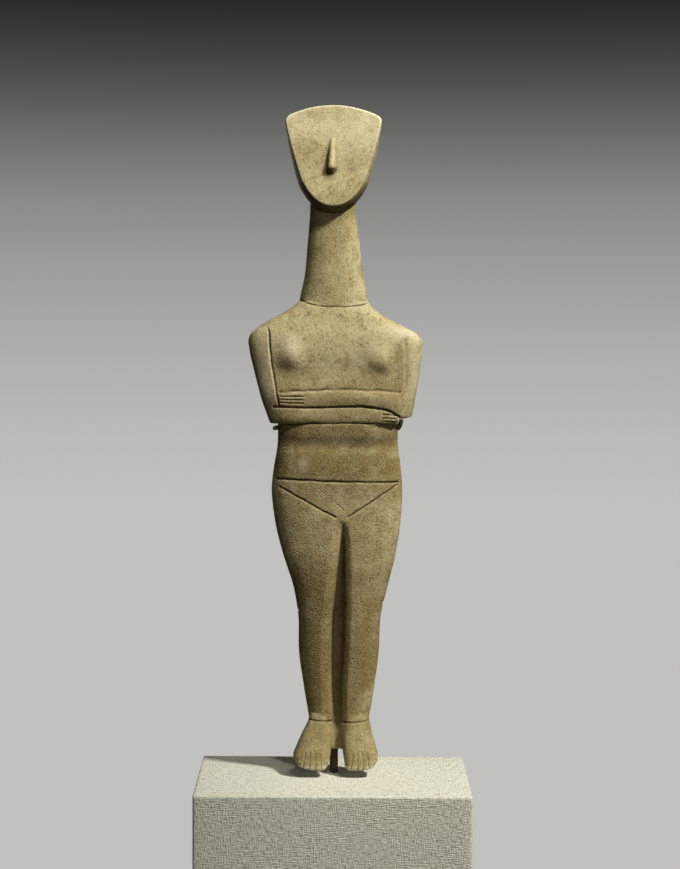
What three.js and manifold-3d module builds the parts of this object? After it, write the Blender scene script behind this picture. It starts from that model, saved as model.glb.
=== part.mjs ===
// A Cycladic marble woman with folded arms, held above a linen-covered block by a metal rod and an
// elbow cradle. Millimetres, +Z up. The origin is the middle of the block's underside, the figure
// faces -Y, and her heights are measured from her own soles.

import * as THREE from 'three';
import { mergeVertices } from 'three/addons/utils/BufferGeometryUtils.js';
import Module from 'manifold-3d';

const wasm = await Module();
wasm.setup();

// ---------------------------------------------------------------- driving dimensions

const BLOCK = { width: 257, depth: 155.4, height: 102, edge: 2.5, edgeSteps: 2, corner: 3 };
const SOLE_GAP = 7.5; // her feet hang this far above the block
const SOLE = BLOCK.height + SOLE_GAP;
const FIT_GAP = 0.35; // between pieces that touch on the real mount

const ROD = { x: 0.8, y: 14, radius: 4, sides: 12, steps: 24, sunk: 40, hipAt: 245, hipGap: 1 };
// The rod's route above the block: how far it moves right, how far back, and its height. The last
// four places take their depth from the hips and from the cradle instead.
const ROD_FOOT = [[0, 0, 0], [0, 0, 60], [0.6, 1, 100], [2, 11, 158]];
const ROD_HIP = [[2.7, 0, 214], [2.7, 0.3, 250]];
const ROD_WAIST = [[2.2, 0, 308], [2.2, 0, 331]];
const HOLE_MOUTH = 10; // the drill is this much longer than the hole
const CRADLE = {
  radius: 2.2, sides: 8, steps: 34, points: 28, height: 324.2, clearance: 0.8,
  leftTurn: 1.01, rightTurn: -0.01, // its tips, in half turns from the right side round the back
  rightTip: 331.4, riseFrom: 0.89, riseTo: 0.985,
};

// Each station gives a height and, there, the left and right edges and the front and back faces.
// From inside the feet up the legs and hips to the trunk behind the forearms.
const LEGS_AND_WAIST = {
  square: 2.5,
  stations: [
    { at: 24, left: -17, right: 26, front: 2.5, back: 16 },
    { at: 38, left: -21.5, right: 31, front: 1, back: 17 },
    { at: 50, left: -23.6, right: 34.4, front: -1, back: 18.5 },
    { at: 78, left: -28.4, right: 39, front: -4.5, back: 22 },
    { at: 112, left: -33, right: 43, front: -9, back: 25 },
    { at: 148, left: -34, right: 44.8, front: -12, back: 22 },
    { at: 172, left: -38, right: 50.2, front: -14, back: 22.5 },
    { at: 206, left: -48.8, right: 58.2, front: -15.5, back: 26 },
    { at: 236, left: -56.2, right: 62.7, front: -15, back: 29 },
    { at: 268, left: -59.5, right: 64.1, front: -14, back: 28.5 },
    { at: 294, left: -56.4, right: 61.5, front: -13.4, back: 24 },
    { at: 313, left: -53.8, right: 59.3, front: -11.2, back: 21 },
    { at: 325, left: -53.6, right: 59.3, front: -14.2, back: 21.1 },
    { at: 345, left: -53.6, right: 59.4, front: -14.8, back: 21.4 },
  ],
};

const ARMS_FROM = 329.3;

// The chest with the arms folded over it, from the lower forearm to the shoulders.
const CHEST_AND_ARMS = {
  square: 3,
  stations: [
    { at: ARMS_FROM, left: -61, right: 70, front: -14.8, back: 21.5 },
    { at: 332.5, left: -62.4, right: 70.8, front: -15.8, back: 21.8 },
    { at: 339, left: -64.6, right: 72.8, front: -16.3, back: 22.2 },
    { at: 352, left: -69.2, right: 75.2, front: -17, back: 23 },
    { at: 376, left: -75.7, right: 79.2, front: -15.8, back: 24.5 },
    { at: 398, left: -80.6, right: 81.3, front: -16, back: 25 },
    { at: 407.5, left: -81.6, right: 81.5, front: -15, back: 24.6 },
    { at: 413.2, left: -79.6, right: 77.2, front: -14.2, back: 24 },
    { at: 423.5, left: -66.2, right: 57.6, front: -12.2, back: 23.2 },
    { at: 434, left: -47.5, right: 39.5, front: -10.7, back: 22.6 },
    { at: 443.5, left: -33.6, right: 30.2, front: -8, back: 21.8 },
  ],
};

const NECK = {
  square: 2.2,
  stations: [
    { at: 430, left: -34.6, right: 31, front: -9.6, back: 22 },
    { at: 444, left: -33.8, right: 30.4, front: -9.4, back: 22 },
    { at: 468, left: -29.3, right: 25.8, front: -9, back: 21.4 },
    { at: 496, left: -26.7, right: 22.4, front: -8.6, back: 20.6 },
    { at: 520, left: -25, right: 19, front: -8.4, back: 20.2 },
    { at: 540, left: -24.4, right: 18.6, front: -8, back: 20 },
  ],
};

const LEFT_FOOT = {
  square: 2.4,
  stations: [
    { at: 0, left: -20.5, right: -8.5, front: -11.5, back: -2 },
    { at: 2.2, left: -29, right: -6.2, front: -12.8, back: 3 },
    { at: 6, left: -34.8, right: -4.2, front: -12.6, back: 9 },
    { at: 11, left: -37.8, right: -2.6, front: -11.4, back: 13.5 },
    { at: 20, left: -35, right: -1.9, front: -8.8, back: 16 },
    { at: 33, left: -29.4, right: -2, front: -5, back: 15.5 },
    { at: 46, left: -23.4, right: -2.6, front: -1.4, back: 15 },
    { at: 52, left: -22.6, right: -3.6, front: -0.4, back: 14 },
  ],
};

const RIGHT_FOOT = {
  square: 2.4,
  stations: [
    { at: 0, left: 14, right: 30, front: -11.5, back: -2 },
    { at: 2.2, left: 12.2, right: 36.4, front: -12.8, back: 3 },
    { at: 6, left: 11, right: 41, front: -12.6, back: 9 },
    { at: 11, left: 10, right: 42.9, front: -11.4, back: 13.5 },
    { at: 20, left: 8.8, right: 41, front: -8.8, back: 16 },
    { at: 33, left: 8.7, right: 37.2, front: -5, back: 17 },
    { at: 46, left: 9.2, right: 34.2, front: -1.4, back: 18 },
    { at: 52, left: 10, right: 33.4, front: -0.4, back: 17.6 },
  ],
};

// What is carved away between the legs, in front and behind, leaving a web of stone between them.
const FRONT_CLEFT = {
  square: 2,
  stations: [
    { at: 20, left: -2.6, right: 9, front: -40, back: 4.5 },
    { at: 68, left: -3.2, right: 8.6, front: -40, back: 3 },
    { at: 125, left: -4.2, right: 11, front: -40, back: 0.5 },
    { at: 154, left: -2.4, right: 11.6, front: -40, back: -1 },
    { at: 187, left: 2, right: 11.4, front: -40, back: -4 },
    { at: 214, left: 4.6, right: 10.6, front: -40, back: -8 },
    { at: 237, left: 6.6, right: 8.4, front: -40, back: -13.6 },
  ],
};
const REAR_CLEFT = {
  square: 5,
  stations: [
    { at: 20, left: -5.6, right: 8.6, front: 8.4, back: 60 },
    { at: 112, left: -5.6, right: 8.6, front: 8.6, back: 60 },
    { at: 160, left: -3, right: 9, front: 12.5, back: 60 },
    { at: 215, left: 1, right: 7, front: 19, back: 60 },
    { at: 262, left: 2.5, right: 4.5, front: 25.5, back: 60 },
  ],
};

const SIDES = { body: 32, neck: 22, foot: 18, cleft: 8 };
const RINGS = { body: 25, chest: 18, neck: 6, foot: 9, cleft: 11 };

const HEAD = {
  middle: -3,
  bottom: 525.6,
  chin: { flat: 16, half: 25, rise: 12 },
  cheek: { half: 32.2, at: 552, swell: 40.5, swellAt: 578 },
  corner: { half: 45.4, at: 610.5, rounding: 5, bulge: 0.6, bulgeUp: 4 },
  crown: 626.4,
  chinFront: -24.5,
  crownFront: -3,
  jawBack: 19.5,
  crownBack: 26,
  square: 4.2,
  points: 36,
  layers: 10,
};

const ELBOW_CUT = { width: 40, depth: 80, height: 30, x: 57.6, top: 333.4, slope: 12 };
const NOSE = {
  x: -4.6, top: 596, tip: 564, lean: 1.2, halfWidth: 4.8, height: 6.4, sides: 12, proud: 0.8,
};
const BREAST = {
  at: 391, left: -42, right: 43, radius: 18, lift: 6.4, sunk: 2.8, sides: 14, rings: 8,
};

// Incised lines: where each runs (x, height), how wide it is and how deep.
// Each cut is open well outside the face, so that it never runs under the surface.
const LINE = { depth: 1.2, floor: 0.5, mouth: 5.2, proud: 4, step: 16 };
const FINE_LINE = { ...LINE, depth: 0.8, mouth: 4.4 };
const SPINE = { ...LINE, floor: 1, mouth: 9 };
const NECK_LINE = [[-32, 445.6], [-22.5, 441], [-3, 439.4], [20, 439.8], [29, 443]];
const ARM_LINES = [
  [[-62, 415], [-59.6, 388], [-52, 346]],
  [[64, 405], [66, 386], [66.2, 365]],
];
const FOREARM_LINES = [
  [[-52.2, 358.8], [-10, 361.5], [59.9, 361.9]],
  [[-57, 345.4], [-17, 344.9], [19.7, 346.6], [37.5, 345.1], [49.4, 342.8], [60, 336.6]],
];
const FINGERS = [
  { from: -51, to: -30.5, at: 355.4, step: -3.05, count: 3, drop: 0 },
  { from: 45.4, to: 56.5, at: 339.2, step: -3.05, count: 3, drop: 0.4 },
];
const GIRDLE_LINE = [[-54.5, 277.8], [6.6, 275.6], [60, 274.9]];
const PUBIC_LINES = [
  [[-51.6, 270], [1.1, 242.4]],
  [[59.2, 272.6], [12.6, 242.4]],
];
const ANKLE_LINES = [
  [[-21.5, 47], [-13, 45.6], [-3.5, 44.6]],
  [[10.4, 44.4], [22, 44.5], [32.5, 45.6]],
];
const TOES = { count: 5, tip: 6, bottom: 1.5, top: 19, spread: 1.3 };
const KNEE_LINES = [
  [[-32.6, 152], [-16, 157], [-4, 160]],
  [[43.6, 160], [26, 163], [11, 160]],
];
const SPINE_LINE = [[1.5, 438], [1, 380], [2.5, 320], [3.5, 262]];

// ---------------------------------------------------------------- solids from geometry

// three.js geometry to a manifold solid, by its positions alone.
function solid(geometry) {
  const bare = geometry.clone();
  bare.deleteAttribute('normal');
  bare.deleteAttribute('uv');
  const merged = mergeVertices(bare, 1e-4);
  return new wasm.Manifold(new wasm.Mesh({
    numProp: 3,
    vertProperties: new Float32Array(merged.attributes.position.array),
    triVerts: new Uint32Array(merged.index.array),
  }));
}

function geometryOf(manifold) {
  const mesh = manifold.getMesh();
  const geometry = new THREE.BufferGeometry();
  geometry.setAttribute('position', new THREE.BufferAttribute(mesh.vertProperties, 3));
  geometry.setIndex(new THREE.BufferAttribute(mesh.triVerts, 1));
  geometry.computeVertexNormals();
  return geometry;
}

// Rounding noise is dropped first, so that a seam's two edges meet exactly.
function signedPower(value, power) {
  const size = Math.abs(value) < 1e-9 ? 0 : Math.abs(value);
  return Math.sign(value) * size ** power;
}

// A smooth run through a form's stations, giving its four edges at any height.
function edgesOf(form) {
  const keys = ['left', 'right', 'front', 'back'];
  const heights = form.stations.map((station) => station.at);
  const values = form.stations.flatMap((station) => keys.map((key) => station[key]));
  const run = new THREE.CubicInterpolant(heights, values, keys.length, new Array(keys.length));
  return (height) => {
    const [left, right, front, back] = run.evaluate(height);
    return { left, right, front, back };
  };
}

// A point on a form's outline at one height: 0 is its right edge, a quarter turn is its back.
function outlinePoint(form, height, angle, grow = 0) {
  const { left, right, front, back } = edgesOf(form)(height);
  const power = 2 / form.square;
  const across = (right - left) / 2 + grow;
  const deep = (back - front) / 2 + grow;
  return new THREE.Vector3(
    (left + right) / 2 + across * signedPower(Math.cos(angle), power),
    (front + back) / 2 + deep * signedPower(Math.sin(angle), power),
    height,
  );
}

// The front or back face's depth at a place on a form.
function faceDepth(form, x, height, face = 'front') {
  const { left, right, front, back } = edgesOf(form)(height);
  const aside = Math.min(Math.abs(x - (left + right) / 2) / ((right - left) / 2), 1);
  const share = (1 - aside ** form.square) ** (1 / form.square);
  const deep = ((back - front) / 2) * share;
  return (front + back) / 2 + (face === 'front' ? -deep : deep);
}

// A closed cylinder whose rings are reshaped to a form's outline, height by height.
function loft(form, sides, rings) {
  const geometry = new THREE.CylinderGeometry(1, 1, 1, sides, rings);
  geometry.rotateX(Math.PI / 2);
  const low = form.stations[0].at;
  const high = form.stations.at(-1).at;
  const place = geometry.attributes.position;
  for (let i = 0; i < place.count; i += 1) {
    const height = low + (place.getZ(i) + 0.5) * (high - low);
    const reach = Math.hypot(place.getX(i), place.getY(i));
    const angle = Math.atan2(place.getY(i), place.getX(i));
    const edge = outlinePoint(form, height, angle);
    const { left, right, front, back } = edgesOf(form)(height);
    const middle = new THREE.Vector3((left + right) / 2, (front + back) / 2, height);
    const point = middle.lerp(edge, reach);
    place.setXYZ(i, point.x, point.y, point.z);
  }
  return solid(geometry);
}

// ---------------------------------------------------------------- the head

// The shield shape of the head, seen from the front: crown, corners, cheeks and rounded chin.
function headOutline() {
  const { chin, cheek, corner, crown, bottom } = HEAD;
  const cornerTop = corner.at + 1.4 * corner.rounding;
  const crownPull = 2 * crown - cornerTop;
  const bulge = [corner.half + corner.bulge, corner.at + corner.bulgeUp];
  const inner = corner.half - corner.rounding;
  const chinUp = bottom + chin.rise;
  const shape = new THREE.Shape();
  shape.moveTo(0, bottom);
  shape.bezierCurveTo(-chin.flat, bottom, -chin.half, chinUp, -cheek.half, cheek.at);
  shape.quadraticCurveTo(-cheek.swell, cheek.swellAt, -corner.half, corner.at);
  shape.quadraticCurveTo(-bulge[0], bulge[1], -inner, cornerTop);
  shape.quadraticCurveTo(0, crownPull, inner, cornerTop);
  shape.quadraticCurveTo(bulge[0], bulge[1], corner.half, corner.at);
  shape.quadraticCurveTo(cheek.swell, cheek.swellAt, cheek.half, cheek.at);
  shape.bezierCurveTo(chin.half, chinUp, chin.flat, bottom, 0, bottom);
  return shape.getSpacedPoints(HEAD.points).slice(0, HEAD.points);
}

// The face leans back from the chin to the crown.
function faceFront(height) {
  const share = (height - HEAD.bottom) / (HEAD.crown - HEAD.bottom);
  return THREE.MathUtils.lerp(HEAD.chinFront, HEAD.crownFront, share);
}

function headBack(height) {
  const share = (height - HEAD.bottom) / (HEAD.crown - HEAD.bottom);
  return THREE.MathUtils.lerp(HEAD.jawBack, HEAD.crownBack, Math.sin((share * Math.PI) / 2));
}

// A sphere whose poles are the middles of the face and of the back of the head, and whose turns
// follow the shield shape, so that the face is flat with a softly rounded rim.
function head() {
  const outline = headOutline();
  const geometry = new THREE.SphereGeometry(1, HEAD.points, HEAD.layers);
  const place = geometry.attributes.position;
  const columns = HEAD.points + 1;
  const centre = new THREE.Vector2(0, (HEAD.corner.at + HEAD.cheek.at) / 2);
  const power = 2 / HEAD.square;
  for (let i = 0; i < place.count; i += 1) {
    const turn = (Math.PI * Math.floor(i / columns)) / HEAD.layers;
    const reach = Math.sin(turn) ** power;
    const share = (1 + signedPower(Math.cos(turn), power)) / 2;
    const edge = outline[i % columns % HEAD.points];
    const flat = centre.clone().lerp(edge, reach);
    const depth = THREE.MathUtils.lerp(faceFront(flat.y), headBack(flat.y), share);
    place.setXYZ(i, HEAD.middle + flat.x, depth, flat.y);
  }
  return solid(geometry);
}

// A cone laid down the face, point up, half sunk in the stone: its base is the nose's underside.
function nose() {
  const length = NOSE.top - NOSE.tip;
  const geometry = new THREE.ConeGeometry(1, length, NOSE.sides);
  geometry.rotateX(Math.PI / 2);
  geometry.scale(NOSE.halfWidth, NOSE.height, 1);
  const rise = Math.atan2(faceFront(NOSE.top) - faceFront(NOSE.tip), length);
  geometry.rotateX(-rise);
  geometry.rotateY(THREE.MathUtils.degToRad(NOSE.lean));
  const middle = (NOSE.top + NOSE.tip) / 2;
  geometry.translate(NOSE.x, faceFront(middle) + NOSE.proud, middle);
  return solid(geometry);
}

// ---------------------------------------------------------------- carving

function breast(x) {
  const { radius, lift, sunk, sides, rings, at } = BREAST;
  const geometry = new THREE.SphereGeometry(1, sides, rings);
  geometry.scale(radius, lift, radius);
  geometry.translate(x, faceDepth(CHEST_AND_ARMS, x, at) + sunk, at);
  return solid(geometry);
}

// A cut with sloping sides that follows a line over a face: -1 is the front face, 1 the back. It is
// a box whose length is bent along the line, open outside the face and narrow at its bottom.
function incision(line, depthAt, { depth, floor, mouth, proud, step } = LINE, side = -1) {
  const points = line.map(([x, height]) => new THREE.Vector3(x, 0, height));
  const run = new THREE.CatmullRomCurve3(points);
  const steps = Math.max(2, Math.ceil(run.getLength() / step));
  const geometry = new THREE.BoxGeometry(1, 1, 1, steps, 1, 1);
  const place = geometry.attributes.position;
  for (let i = 0; i < place.count; i += 1) {
    const along = place.getX(i) + 0.5;
    const outside = place.getZ(i) > 0;
    const point = run.getPointAt(along);
    const tangent = run.getTangentAt(along);
    const aside = -side * place.getY(i) * (outside ? mouth : floor);
    const surface = depthAt(point.x, point.z);
    const depthHere = surface + side * (outside ? proud : -depth);
    place.setXYZ(i, point.x - tangent.z * aside, depthHere, point.z + tangent.x * aside);
  }
  return solid(geometry);
}

const onChest = (x, height) => faceDepth(CHEST_AND_ARMS, x, height);
const onLegs = (x, height) => faceDepth(LEGS_AND_WAIST, x, height);

function onBack(x, height) {
  const arms = height > ARMS_FROM ? faceDepth(CHEST_AND_ARMS, x, height, 'back') : -Infinity;
  const legs = height < ARMS_FROM ? faceDepth(LEGS_AND_WAIST, x, height, 'back') : -Infinity;
  return Math.max(arms, legs);
}

// The neck's line runs where the neck meets the chest, on whichever of the two stands proud.
function onNeck(x, height) {
  const chest = CHEST_AND_ARMS.stations.at(-1).at;
  return Math.min(faceDepth(NECK, x, height), height < chest ? onChest(x, height) : 0);
}

function fingerLines() {
  return FINGERS.flatMap(({ from, to, at, step, count, drop }) => (
    Array.from({ length: count }, (_, i) => {
      const height = at + i * step;
      return incision([[from, height], [to, height - drop]], onChest, FINE_LINE);
    })));
}

// The cuts between the toes fan out a little towards the toe tips.
function toeLines(foot) {
  const tips = edgesOf(foot)(TOES.tip);
  const middle = (tips.left + tips.right) / 2;
  const pitch = (tips.right - tips.left) / TOES.count;
  return Array.from({ length: TOES.count - 1 }, (_, i) => {
    const offset = (i + 1 - TOES.count / 2) * pitch;
    const line = [[middle + offset / TOES.spread, TOES.top], [middle + offset, TOES.bottom]];
    return incision(line, (x, height) => faceDepth(foot, x, height), FINE_LINE);
  });
}

// Under the right elbow the arm ends higher than the lower forearm does.
function underRightElbow() {
  const { width, depth, height, x, top, slope } = ELBOW_CUT;
  const geometry = new THREE.BoxGeometry(width, depth, height);
  geometry.translate(width / 2, 0, -height / 2);
  geometry.rotateY(THREE.MathUtils.degToRad(-slope));
  geometry.translate(x, 0, top);
  return solid(geometry);
}

function figurineSolid() {
  const arms = loft(CHEST_AND_ARMS, SIDES.body, RINGS.chest).subtract(underRightElbow());
  const bodyParts = [
    arms,
    loft(NECK, SIDES.neck, RINGS.neck),
    loft(LEFT_FOOT, SIDES.foot, RINGS.foot),
    loft(RIGHT_FOOT, SIDES.foot, RINGS.foot),
    head(),
    nose(),
    breast(BREAST.left),
    breast(BREAST.right),
  ];
  const legs = loft(LEGS_AND_WAIST, SIDES.body, RINGS.body)
    .subtract(loft(FRONT_CLEFT, SIDES.cleft, RINGS.cleft))
    .subtract(loft(REAR_CLEFT, SIDES.cleft, RINGS.cleft));
  const whole = bodyParts.reduce((sum, part) => sum.add(part), legs);
  const cuts = [
    incision(NECK_LINE, onNeck),
    ...[...ARM_LINES, ...FOREARM_LINES].map((line) => incision(line, onChest)),
    ...fingerLines(),
    ...[GIRDLE_LINE, ...PUBIC_LINES, ...ANKLE_LINES].map((line) => incision(line, onLegs)),
    ...toeLines(LEFT_FOOT),
    ...toeLines(RIGHT_FOOT),
    ...KNEE_LINES.map((line) => incision(line, onBack, LINE, 1)),
    incision(SPINE_LINE, onBack, SPINE, 1),
  ];
  return cuts.reduce((rest, cut) => rest.subtract(cut), whole);
}

// ---------------------------------------------------------------- the mount

// The bent bar: from its left tip round the back of the waist to its right tip, which rises to
// the higher right elbow.
function cradlePath() {
  const grow = CRADLE.radius + CRADLE.clearance;
  const points = Array.from({ length: CRADLE.points + 1 }, (_, i) => {
    const share = i / CRADLE.points;
    const angle = Math.PI * THREE.MathUtils.lerp(CRADLE.leftTurn, CRADLE.rightTurn, share);
    const point = outlinePoint(LEGS_AND_WAIST, CRADLE.height, angle, grow);
    const rise = THREE.MathUtils.smoothstep(share, CRADLE.riseFrom, CRADLE.riseTo);
    point.z = THREE.MathUtils.lerp(CRADLE.height, CRADLE.rightTip, rise);
    return point;
  });
  return new THREE.CatmullRomCurve3(points);
}

function bar(path, radius, sides, steps) {
  const section = new THREE.Shape().absarc(0, 0, radius, 0, Math.PI * 2);
  return new THREE.ExtrudeGeometry(section, { steps, curveSegments: sides / 2, extrudePath: path });
}

// Upright behind the feet and in the cleft of the calves, then back round the buttocks.
function rodPath() {
  const waistBack = outlinePoint(LEGS_AND_WAIST, CRADLE.height, Math.PI / 2).y;
  const barBack = waistBack + CRADLE.clearance + 2 * CRADLE.radius;
  const waist = barBack + FIT_GAP + ROD.radius;
  const hip = outlinePoint(LEGS_AND_WAIST, ROD.hipAt, Math.PI / 2).y + ROD.hipGap + ROD.radius;
  const along = (places, y) => places.map(([right, back, height]) => (
    new THREE.Vector3(ROD.x + right, y + back, height)));
  return new THREE.CatmullRomCurve3([
    new THREE.Vector3(ROD.x, ROD.y, -SOLE_GAP - ROD.sunk),
    ...along(ROD_FOOT, ROD.y),
    ...along(ROD_HIP, hip),
    ...along(ROD_WAIST, waist),
  ]);
}

function linenBlock() {
  const { width, depth, height, edge, edgeSteps, corner } = BLOCK;
  const x = width / 2 - edge;
  const y = depth / 2 - edge;
  const shape = new THREE.Shape();
  shape.moveTo(-x + corner, -y);
  shape.lineTo(x - corner, -y);
  shape.absarc(x - corner, -y + corner, corner, -Math.PI / 2, 0);
  shape.absarc(x - corner, y - corner, corner, 0, Math.PI / 2);
  shape.absarc(-x + corner, y - corner, corner, Math.PI / 2, Math.PI);
  shape.absarc(-x + corner, -y + corner, corner, Math.PI, Math.PI * 1.5);
  const geometry = new THREE.ExtrudeGeometry(shape, {
    depth: height - 2 * edge,
    curveSegments: 3,
    bevelThickness: edge,
    bevelSize: edge,
    bevelSegments: edgeSteps,
  });
  geometry.translate(0, 0, edge);
  const bore = ROD.radius + FIT_GAP;
  const length = ROD.sunk + HOLE_MOUTH;
  const hole = new THREE.CylinderGeometry(bore, bore, length, ROD.sides);
  hole.rotateX(Math.PI / 2);
  hole.translate(ROD.x, ROD.y, height - ROD.sunk + length / 2 - FIT_GAP);
  return solid(geometry).subtract(solid(hole));
}

// ---------------------------------------------------------------- the object

const marble = new THREE.MeshStandardMaterial({ color: 0xa8966c, roughness: 0.75, metalness: 0 });
const metal = new THREE.MeshStandardMaterial({ color: 0x2b2924, roughness: 0.45, metalness: 0.3 });
const linen = new THREE.MeshStandardMaterial({ color: 0xb9b3a1, roughness: 0.95, metalness: 0 });

function named(name, geometry, material) {
  const mesh = new THREE.Mesh(geometry, material);
  mesh.name = name;
  return mesh;
}

const heldUp = new THREE.Group();
heldUp.position.z = SOLE;
heldUp.add(
  named('figurine', geometryOf(figurineSolid()), marble),
  named('elbow_cradle', bar(cradlePath(), CRADLE.radius, CRADLE.sides, CRADLE.steps), metal),
  named('support_rod', bar(rodPath(), ROD.radius, ROD.sides, ROD.steps), metal),
);

const model = new THREE.Group();
model.add(heldUp, named('linen_block', geometryOf(linenBlock()), linen));

export default model;
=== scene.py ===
# A Cycladic marble woman with folded arms on her museum mount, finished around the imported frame.
# The stone is shaped in millimetres from her own soles and then set in its place in metres.

import math

import bmesh
import bpy
import numpy as np
from mathutils import Matrix, Vector, noise
from mathutils.geometry import interpolate_bezier


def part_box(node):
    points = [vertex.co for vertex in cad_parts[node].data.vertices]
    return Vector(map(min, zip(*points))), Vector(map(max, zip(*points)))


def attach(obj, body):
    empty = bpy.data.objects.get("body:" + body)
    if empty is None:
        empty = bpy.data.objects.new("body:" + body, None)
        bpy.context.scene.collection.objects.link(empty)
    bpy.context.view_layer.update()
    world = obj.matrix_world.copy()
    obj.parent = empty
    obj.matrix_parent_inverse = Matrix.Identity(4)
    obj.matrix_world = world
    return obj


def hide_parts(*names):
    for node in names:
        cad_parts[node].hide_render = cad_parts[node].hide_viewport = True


MM = 0.001
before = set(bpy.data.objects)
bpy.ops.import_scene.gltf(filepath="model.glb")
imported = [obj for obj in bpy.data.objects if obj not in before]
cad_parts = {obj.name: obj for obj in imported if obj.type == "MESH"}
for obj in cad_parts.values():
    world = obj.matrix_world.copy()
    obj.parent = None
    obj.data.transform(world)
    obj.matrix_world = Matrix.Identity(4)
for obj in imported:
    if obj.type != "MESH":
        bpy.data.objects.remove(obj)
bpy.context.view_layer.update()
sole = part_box("figurine")[0].z
block_low, block_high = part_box("linen_block")

# ---------------------------------------------------------------- sizes, in millimetres

# Each station is a height above the soles and, there, the left, right, front and back edges.
LEGS_AND_WAIST = [
    (17, -14, 23, 4.5, 15.5),
    (24, -17, 26, 2.5, 16),
    (38, -21.5, 31, 1, 17),
    (50, -23.6, 34.4, -1, 18.5),
    (78, -28.4, 39, -4.5, 22),
    (112, -33, 43, -9, 25),
    (148, -34, 44.8, -12, 22),
    (172, -38, 50.2, -14, 22.5),
    (206, -48.8, 58.2, -15.5, 26),
    (236, -56.2, 62.7, -15, 29),
    (268, -59.5, 64.1, -14, 28.5),
    (294, -56.4, 61.5, -13.4, 24),
    (301, -55.1, 60.4, -12.9, 22),
    (307, -54.3, 59.7, -11.8, 21.3),
    (313, -53.8, 59.3, -12.6, 21),
    (319, -53.7, 59.3, -14.5, 21),
    (326, -53.6, 59.3, -15.5, 21.1),
    (345, -53.6, 59.4, -14.8, 21.4),
]
CHEST_AND_ARMS = [
    (329.3, -61, 70, -14.8, 21.5),
    (332.5, -62.4, 70.8, -15.8, 21.8),
    (339, -64.6, 72.8, -16.3, 22.2),
    (352, -69.2, 75.2, -17, 23),
    (376, -75.7, 79.2, -15.8, 24.5),
    (398, -80.6, 81.3, -16, 25),
    (407.5, -81.6, 81.5, -15, 24.6),
    (413.2, -79.6, 77.2, -14.2, 24),
    (423.5, -66.2, 57.6, -12.2, 23.2),
    (434, -47.5, 39.5, -10.7, 22.6),
    (443.5, -33.6, 30.2, -8, 21.8),
]
NECK = [
    (430, -34.6, 31, -9.6, 22),
    (444, -33.8, 30.4, -9.4, 22),
    (468, -29.3, 25.8, -9, 21.4),
    (496, -26.7, 22.4, -8.6, 20.6),
    (520, -25, 19, -8.4, 20.2),
    (540, -24.4, 18.6, -8, 20),
]
LEFT_FOOT = [
    (0, -20.5, -8.5, -12, -4),
    (1.8, -29, -6.2, -13.2, 2),
    (6, -34.8, -4.2, -12.9, 9),
    (11, -37.8, -2.6, -11.7, 13.5),
    (20, -35, -1.9, -9, 16),
    (33, -29.4, -2, -5, 15.5),
    (46, -23.4, -2.6, -1.6, 15),
    (52, -22.6, -3.6, 0, 14),
]
RIGHT_FOOT = [
    (0, 14, 30, -12, -4),
    (1.8, 12, 36.5, -13.2, 2),
    (6, 11, 41, -12.9, 9),
    (11, 10, 42.9, -11.7, 13.5),
    (20, 8.8, 41, -9, 16),
    (33, 8.7, 37.2, -5, 17),
    (46, 9.2, 34.2, -1.6, 18),
    (52, 10, 33.4, 0, 17.6),
]
FRONT_CLEFT = [
    (14, -2.6, 9, -8, 5.4),
    (50, -2.6, 8.6, -9, 5),
    (78, -3.6, 8.6, -14.5, 4.5),
    (112, -4.6, 10.6, -21, 3),
    (148, -3, 11.6, -25.5, 1),
    (172, 0, 11.6, -27, -2),
    (206, 3.8, 11, -26, -6),
    (222, 5.4, 10.2, -21.5, -10),
    (238, 6.8, 8.4, -16, -14),
]
REAR_CLEFT = [
    (14, -5.6, 8.6, 8.4, 60),
    (112, -5.6, 8.6, 8.6, 60),
    (160, -3, 9, 12.5, 60),
    (215, 1, 7, 19, 60),
    (262, 2.5, 4.5, 25.5, 60),
]
# How square each form's outline is: 2 is an ellipse.
SQUARE = {"legs": 2.5, "chest": 3.6, "neck": 2.2, "foot": 3.2, "front_cleft": 2, "rear_cleft": 5}

HEAD = {"middle": -3, "bottom": 525.6, "crown": 626.4, "chin_front": -24.5, "crown_front": -3}
HEAD_BACK = {"jaw": 19.5, "crown": 26}
CHEEK = {"half": 32.2, "at": 552, "swell": 40.5, "swell_at": 578}
CORNER = {"half": 45.4, "at": 610.5, "rounding": 5, "rise": 1.4, "pull": (0.6, 4)}
CHIN = {"flat": 16, "half": 25, "rise": 12}
FACE_MIDDLE = (0, (CORNER["at"] + CHEEK["at"]) / 2)
# The face is a flat plate: its rim lies inside the outline, most of all at the chin.
RIM = {"crown": 1.1, "chin": 7, "fade": 1.5, "turn": 30, "bulge": 0.02, "widest": 0.55}
# Where along a line from the face round to the back the plate ends, and the side ends.
HEAD_LINE = {"plate": 0.45, "side": 0.7, "back_power": 0.8}
NOSE = {"x": -4.6, "top": 597, "end": 567, "tip": 561, "lean": -2, "half": 4.6, "height": 7}
# The nose's share of its width at the bridge and at the tip, how fast it rises and drops away,
# how sharp its crest falls to the left and to the right, and how far it is sunk in the face.
NOSE_SHAPE = {"bridge": 0.35, "under": 0.5, "rise": 0.7, "drop": 0.8, "left": 0.5, "right": 1.6, "sunk": 0.6}
# The cleft's lips are worn round: how far out from it on the front, and how deep.
CLEFT_LIPS = {"left": 9, "right": 6, "depth": 2.2, "bottom": 46, "top": 228, "fade": 14}
# The edges between lip and cleft are rubbed round between two heights, on the front only.
ROUNDED = {"low": 30, "high": 238, "soft": 8, "front": 4, "rounds": 30, "share": 0.6}
ROUNDED_RIGHT = {"inside": 2, "outside": 5, "soft": 4}
ROUNDED_LEFT = {"inside": 2, "outside": 3, "soft": 3, "share": 0.6}
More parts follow.
